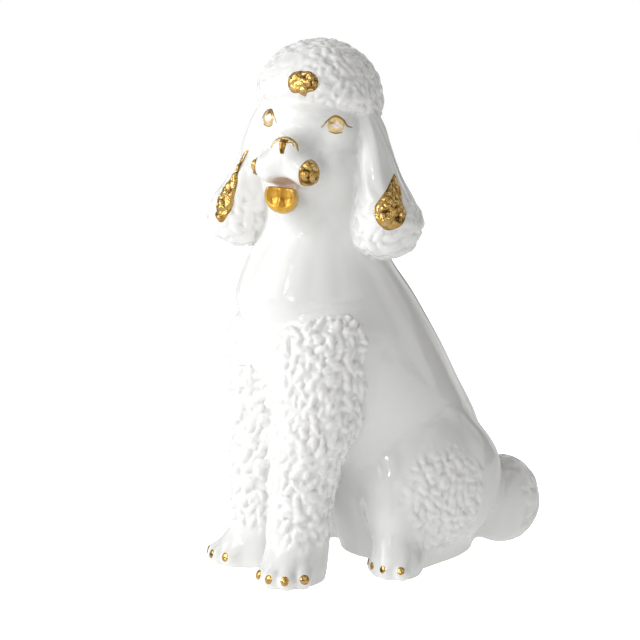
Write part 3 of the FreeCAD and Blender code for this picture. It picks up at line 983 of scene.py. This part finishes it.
def amber_glaze():
    """Cloudy amber lustre of the tongue, one plainer amber round its rim."""
    material, tree, shader = new_material("amber_lustre")
    washes = ((0.3, (0.46, 0.22, 0.02)), (0.5, (0.68, 0.38, 0.05)), (0.72, (0.86, 0.54, 0.10)))
    tint = ramp(tree, noise(tree, 70, 3), washes)
    # Round the rim the noisy amber gives way to one plain, duller amber.
    tint = mixed(tree, attribute(tree, "rim"), tint, (0.62, 0.42, 0.14))
    tree.links.new(tint, shader.inputs["Base Color"])
    shader.inputs["Metallic"].default_value = 0.6
    tree.links.new(shifted(tree, noise(tree, 160), 0.3, 0.7, 0.16, 0.28), shader.inputs["Roughness"])
    bumped(tree, shader, noise(tree, 300, 2), 0.3, 0.0004)
    return material


def plain(name, colour, roughness):
    material, _, shader = new_material(name)
    shader.inputs["Base Color"].default_value = (*colour, 1)
    shader.inputs["Roughness"].default_value = roughness
    return material


# --- Stage, light and camera ---------------------------------------------------------------

AIM = Vector((0.0278, -0.0655, 0.175))      # in metres, as are the distances and lamp sizes below
CAMERA_AZIMUTH, CAMERA_ELEVATION, CAMERA_DISTANCE = 57, 9, 1.2
CAMERA_LENS, SENSOR_WIDTH = 101.25, 36      # millimetres
WINDOW_AZIMUTH = CAMERA_AZIMUTH - 76
# Each lamp's name, azimuth, elevation, distance, width and height, and watts.
SOFTBOXES = (
    ("window", WINDOW_AZIMUTH, 26, 1.5, (0.9, 1.1), 10),
    ("screen", CAMERA_AZIMUTH - 58, 28, 1.5, (0.9, 1.1), 5),
    ("lamp", CAMERA_AZIMUTH - 22, 14, 1.7, (0.10, 0.10), 1.6),
    ("tall lamp", CAMERA_AZIMUTH - 32, 25, 1.7, (0.05, 0.30), 1.2),
)
FLOOR_GLOW, FLOOR_GLOW_SEEN = 0.30, 1.0     # on the object, and to the camera


def towards(azimuth, elevation):
    """Unit vector from the object out to a viewer at this azimuth and elevation."""
    a, e = math.radians(azimuth), math.radians(elevation)
    return Vector((math.sin(a) * math.cos(e), -math.cos(a) * math.cos(e), math.sin(e)))


def aim_at(thing, position, outward):
    """Place a camera or lamp so that it looks back along the outward direction."""
    thing.location = position
    thing.rotation_mode = "QUATERNION"
    thing.rotation_quaternion = outward.to_track_quat("Z", "Y")
    bpy.context.scene.collection.objects.link(thing)


def make_camera():
    lens = bpy.data.cameras.new("camera")
    lens.lens = CAMERA_LENS
    lens.sensor_width = SENSOR_WIDTH
    lens.clip_start = 0.01
    lens.clip_end = 20
    outward = towards(CAMERA_AZIMUTH, CAMERA_ELEVATION)
    camera = bpy.data.objects.new("camera", lens)
    aim_at(camera, AIM + outward * CAMERA_DISTANCE, outward)
    bpy.context.scene.camera = camera


def softbox(name, azimuth, elevation, distance, size, power):
    lamp = bpy.data.lights.new(name, "AREA")
    lamp.shape = "RECTANGLE"
    lamp.size, lamp.size_y = size
    lamp.energy = power
    outward = towards(azimuth, elevation)
    aim_at(bpy.data.objects.new(name, lamp), AIM + outward * distance, outward)


def make_sky():
    """A white studio: plain white to the camera, brighter at the window side, patchy in reflections."""
    world = bpy.data.worlds.new("studio")
    bpy.context.scene.world = world
    world.use_nodes = True
    tree = world.node_tree
    background = tree.nodes["Background"]
    way = tree.nodes.new("ShaderNodeNewGeometry").outputs["Incoming"]
    towards_window = add_node(tree, "ShaderNodeVectorMath", operation="DOT_PRODUCT")
    tree.links.new(way, towards_window.inputs[0])
    towards_window.inputs[1].default_value = -towards(WINDOW_AZIMUTH, 25)
    soft = shifted(tree, towards_window.outputs["Value"], -0.5, 0.9)
    shades = ((0.0, (0.345, 0.34, 0.328)), (0.5, (0.345, 0.341, 0.331)), (1.0, (0.36, 0.36, 0.36)))
    light = ramp(tree, soft, shades)
    patches = add_node(tree, "ShaderNodeTexNoise", Scale=2.6, Detail=1.0)
    tree.links.new(way, patches.inputs["Vector"])
    panes = ((0.44, (0.05, 0.045, 0.04)), (0.50, (0.7, 0.7, 0.7)), (0.62, (1.2, 1.2, 1.2)))
    room = ramp(tree, patches.outputs["Fac"], panes)
    ray = tree.nodes.new("ShaderNodeLightPath")
    seen = mixed(tree, ray.outputs["Is Glossy Ray"], light, room)
    seen = mixed(tree, ray.outputs["Is Camera Ray"], seen, (1.0, 1.0, 1.0))
    tree.links.new(seen, background.inputs["Color"])


def make_stage():
    bpy.ops.mesh.primitive_plane_add(size=6)
    floor = bpy.context.object
    floor.name = "floor"
    paper = plain("floor_paper", (0.92, 0.92, 0.92), 0.8)
    glow = paper.node_tree.nodes["Principled BSDF"].inputs
    glow["Emission Color"].default_value = (1, 1, 1, 1)
    ray = paper.node_tree.nodes.new("ShaderNodeLightPath")
    seen = shifted(paper.node_tree, ray.outputs["Is Camera Ray"], 0, 1, FLOOR_GLOW, FLOOR_GLOW_SEEN)
    paper.node_tree.links.new(seen, glow["Emission Strength"])
    floor.data.materials.append(paper)
    make_sky()
    for lamp in SOFTBOXES:
        softbox(*lamp)
    bpy.context.scene.view_settings.view_transform = "Standard"


make_camera()
make_stage()
glaze = white_glaze()
gold = gold_lustre()
make_skin(glaze, amber_glaze())
make_lustre(gold, pearl_lustre())
make_claws(gold)
